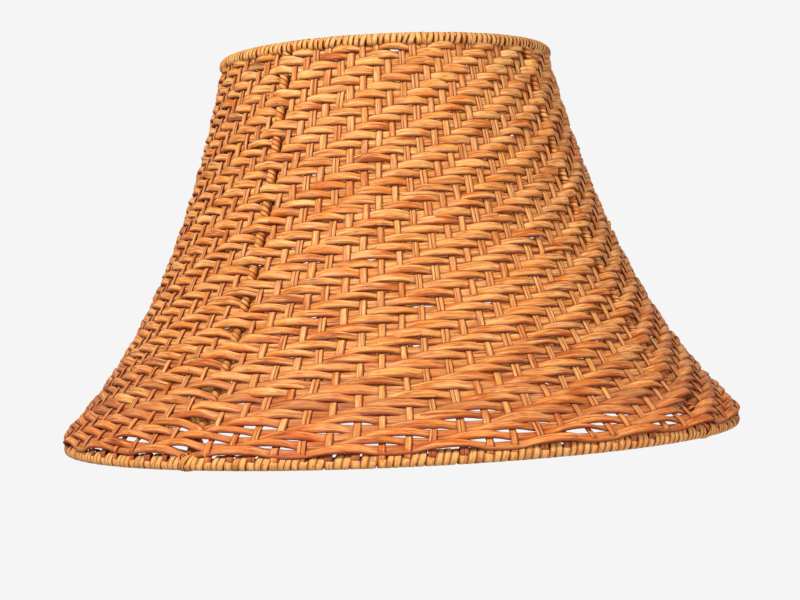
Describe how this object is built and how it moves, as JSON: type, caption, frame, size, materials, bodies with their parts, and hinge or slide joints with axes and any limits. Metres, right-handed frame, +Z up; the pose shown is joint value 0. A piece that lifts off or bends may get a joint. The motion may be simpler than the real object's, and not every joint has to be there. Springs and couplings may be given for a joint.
{
  "type": "lamp shade",
  "caption": "Bell-shaped lamp shade woven from split rattan on a cane-wrapped wire frame, with bound rims and a spider washer for a harp.",
  "frame": {"origin": "centre of the base, on the plane that the bottom rim stands on", "axes": "+Z up along the shade's axis, out of its narrow top; the four ribs stand at 45 degrees to +X and +Y"},
  "size_m": [0.4539, 0.454, 0.2585],
  "materials": {
    "weaver_rattan": "satin",
    "stake_rattan": "satin",
    "binding_cane": "satin",
    "frame_wire": "plain drawn wire",
    "spider_metal": "satin"
  },
  "bodies": {
    "root": {"bottom_hoop": "frame_wire", "top_hoop": "frame_wire", "rib_1": "frame_wire", "rib_2": "frame_wire", "rib_3": "frame_wire", "rib_4": "frame_wire", "rib_wrap_1": "binding_cane", "rib_wrap_2": "binding_cane", "rib_wrap_3": "binding_cane", "rib_wrap_4": "binding_cane", "rib_tie_1": "binding_cane", "rib_tie_2": "binding_cane", "rib_tie_3": "binding_cane", "rib_tie_4": "binding_cane", "spider_hub": "spider_metal", "spider_arm_1": "spider_metal", "spider_arm_2": "spider_metal", "spider_arm_3": "spider_metal", "bottom_rim_binding": "binding_cane", "top_rim_binding": "binding_cane", "weaver_course_01": "weaver_rattan", "weaver_course_02": "weaver_rattan", "weaver_course_03": "weaver_rattan", "weaver_course_04": "weaver_rattan", "weaver_course_05": "weaver_rattan", "weaver_course_06": "weaver_rattan", "weaver_course_07": "weaver_rattan", "weaver_course_08": "weaver_rattan", "weaver_course_09": "weaver_rattan", "weaver_course_10": "weaver_rattan", "weaver_course_11": "weaver_rattan", "weaver_course_12": "weaver_rattan", "weaver_course_13": "weaver_rattan", "stakes_1": "stake_rattan", "stakes_2": "stake_rattan", "stakes_3": "stake_rattan", "stakes_4": "stake_rattan"}
  },
  "joints": []
}
